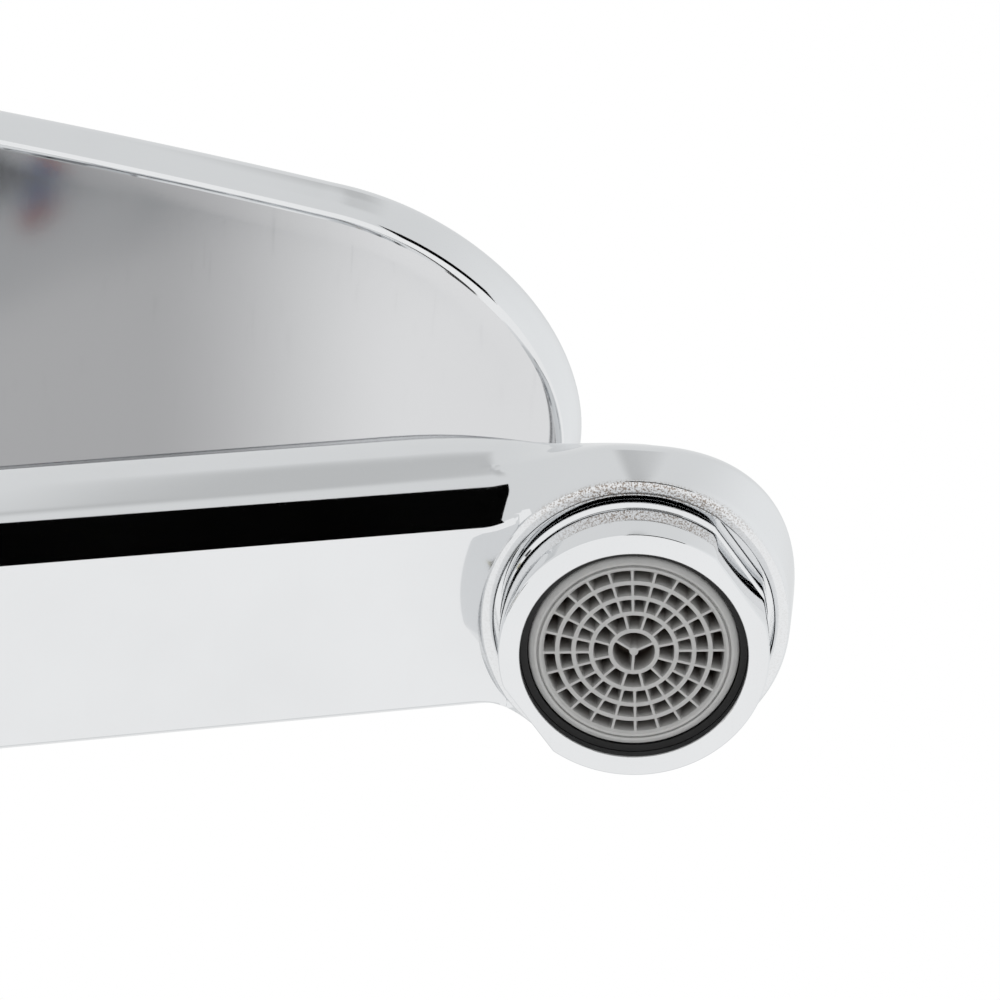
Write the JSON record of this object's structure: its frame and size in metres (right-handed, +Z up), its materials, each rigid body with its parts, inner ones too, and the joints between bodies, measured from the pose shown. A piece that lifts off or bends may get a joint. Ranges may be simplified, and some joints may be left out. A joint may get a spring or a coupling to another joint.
{
  "type": "kitchen mixer tap",
  "caption": "Deck-mounted single-lever kitchen mixer tap with a short inclined swivel spout, an aerator outlet and a broad arched lever over a round body",
  "frame": {"origin": "centre of the underside of the tap, on the top face of the worktop", "axes": "+Z up out of the worktop along the body axis, +X forward along the spout at rest, +Y to the left of the tap as it looks along +X"},
  "size_m": [0.1656, 0.055, 0.1929],
  "materials": {
    "base_ring": "polished chrome",
    "base_gasket": "black rubber",
    "body_core": "machined brass",
    "lower_slide_ring": "white acetal",
    "upper_slide_ring": "white acetal",
    "lower_spout_seal": "black rubber",
    "upper_spout_seal": "black rubber",
    "swivel_stop_screw": "stainless steel",
    "fixing_stud": "zinc-plated steel",
    "bonnet": "polished chrome",
    "port_seals": "black rubber",
    "cartridge_base": "off-white plastic",
    "fixed_disc": "ground ceramic",
    "cartridge_housing": "off-white plastic",
    "cartridge_nut": "machined brass",
    "spout": "polished chrome",
    "aerator_ring": "polished chrome",
    "aerator_gasket": "black rubber",
    "aerator_grid": "grey plastic",
    "flow_plate": "white plastic",
    "aerator_washer": "black rubber",
    "cartridge_rotor": "off-white plastic",
    "pivot_pin": "ground steel",
    "stem": "plated steel",
    "handle": "polished chrome, satin hollow underneath",
    "grub_screw": "blackened steel",
    "indicator_red": "red plastic",
    "indicator_blue": "blue plastic",
    "moving_disc": "ground ceramic",
    "disc_carrier": "red plastic",
    "clamp_rubber": "black rubber",
    "clamp_plate": "zinc-plated steel",
    "clamp_nut": "brass"
  },
  "bodies": {
    "body": {"base_ring": "base_ring", "base_gasket": "base_gasket", "body_core": "body_core", "lower_slide_ring": "lower_slide_ring", "upper_slide_ring": "upper_slide_ring", "lower_spout_seal": "lower_spout_seal", "upper_spout_seal": "upper_spout_seal", "swivel_stop_screw": "swivel_stop_screw", "fixing_stud": "fixing_stud", "bonnet": "bonnet", "port_seals": "port_seals", "cartridge_base": "cartridge_base", "fixed_disc": "fixed_disc", "cartridge_housing": "cartridge_housing", "cartridge_nut": "cartridge_nut"},
    "spout": {"spout": "spout", "aerator_ring": "aerator_ring", "aerator_gasket": "aerator_gasket", "aerator_grid": "aerator_grid", "flow_plate": "flow_plate", "aerator_washer": "aerator_washer"},
    "rotor": {"cartridge_rotor": "cartridge_rotor", "pivot_pin": "pivot_pin"},
    "lever": {"stem": "stem", "handle": "handle", "grub_screw": "grub_screw", "indicator_red": "indicator_red", "indicator_blue": "indicator_blue"},
    "disc": {"moving_disc": "moving_disc", "disc_carrier": "disc_carrier"},
    "clamp": {"clamp_rubber": "clamp_rubber", "clamp_plate": "clamp_plate", "clamp_nut": "clamp_nut"}
  },
  "joints": [
    {"name": "spout_swivel", "type": "hinge", "parent": "body", "child": "spout", "pos_m": [0, 0, 0.03], "axis": [0, 0, 1], "range_deg": [-70, 70]},
    {"name": "lever_turn", "type": "hinge", "parent": "body", "child": "rotor", "pos_m": [0, 0, 0.0715], "axis": [0, 0, 1], "range_deg": [-50, 50]},
    {"name": "lever_lift", "type": "hinge", "parent": "rotor", "child": "lever", "pos_m": [0, 0, 0.0715], "axis": [0, -1, 0], "range_deg": [0, 25]},
    {"name": "disc_slide", "type": "slide", "parent": "rotor", "child": "disc", "axis": [1, 0, 0], "range_m": [0, 0.0039]},
    {"name": "clamp_travel", "type": "slide", "parent": "body", "child": "clamp", "axis": [0, 0, 1], "range_m": [0, 0.038]}
  ],
  "couplings": [
    {"joint": "disc_slide", "follows": "lever_lift", "m_per_rad": 0.00872}
  ]
}
